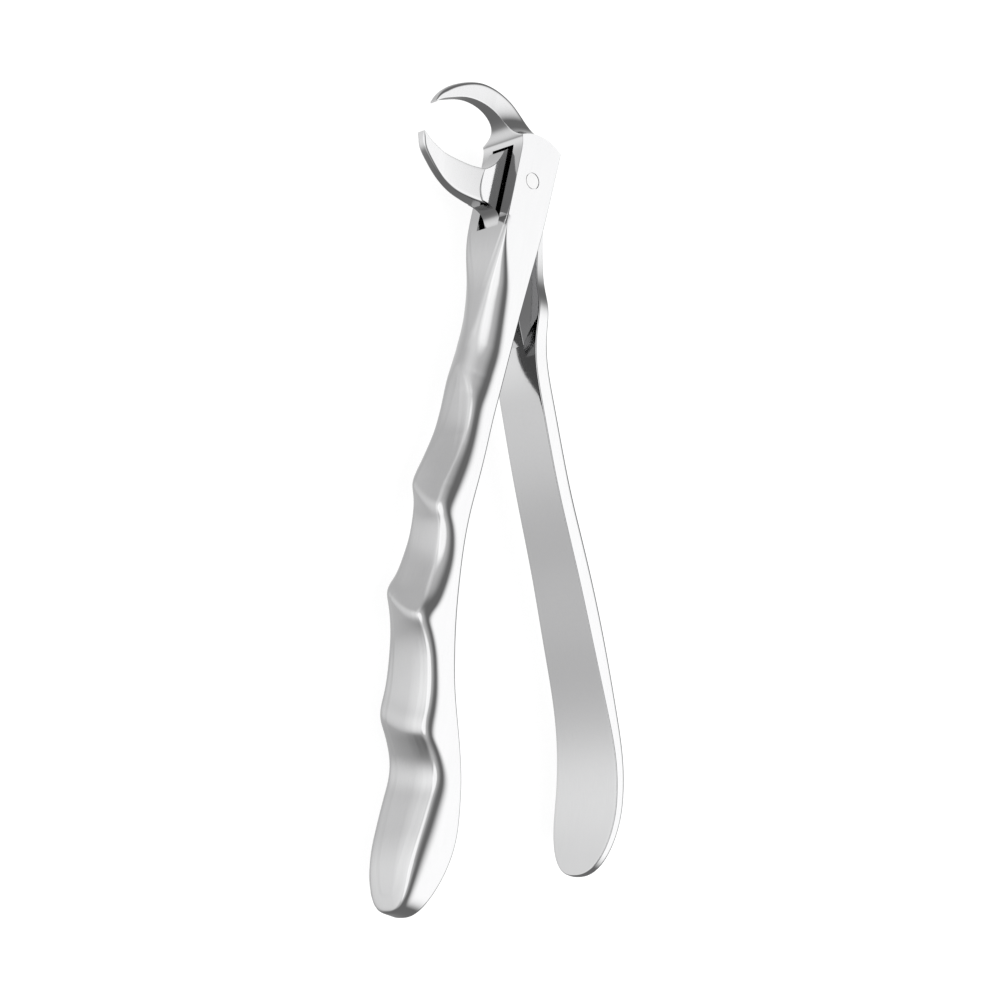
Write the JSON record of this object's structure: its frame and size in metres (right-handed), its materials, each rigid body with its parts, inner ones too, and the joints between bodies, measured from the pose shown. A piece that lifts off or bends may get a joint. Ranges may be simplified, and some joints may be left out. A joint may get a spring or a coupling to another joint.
{
  "type": "dental extraction forceps",
  "caption": "Lower-molar extraction forceps: hooked beaks close on a tooth as the finger-grip handle and the smooth handle are squeezed about a box joint.",
  "frame": {"origin": "middle of the forceps' bounding box, on the plane it lies on", "axes": "+Z along the pivot pin, away from the surface the forceps lies on; +X from the beaks towards the handle ends; -Y towards the finger grip and the beak tips"},
  "size_m": [0.1729, 0.0802, 0.019],
  "materials": {
    "front_half_steel": "mirror-polished stainless steel with a fine satin haze",
    "rear_half_steel": "mirror-polished stainless steel with a fine satin haze",
    "pin_steel": "ground flush and polished"
  },
  "bodies": {
    "front": {"front_half": "front_half_steel", "pivot_pin": "pin_steel"},
    "rear": {"rear_half": "rear_half_steel"}
  },
  "joints": [
    {"name": "beak_hinge", "type": "hinge", "parent": "front", "child": "rear", "pos_m": [-0.0682, -0.0141, 0.0095], "axis": [0, 0, 1], "range_deg": [-8.5, 12]}
  ]
}
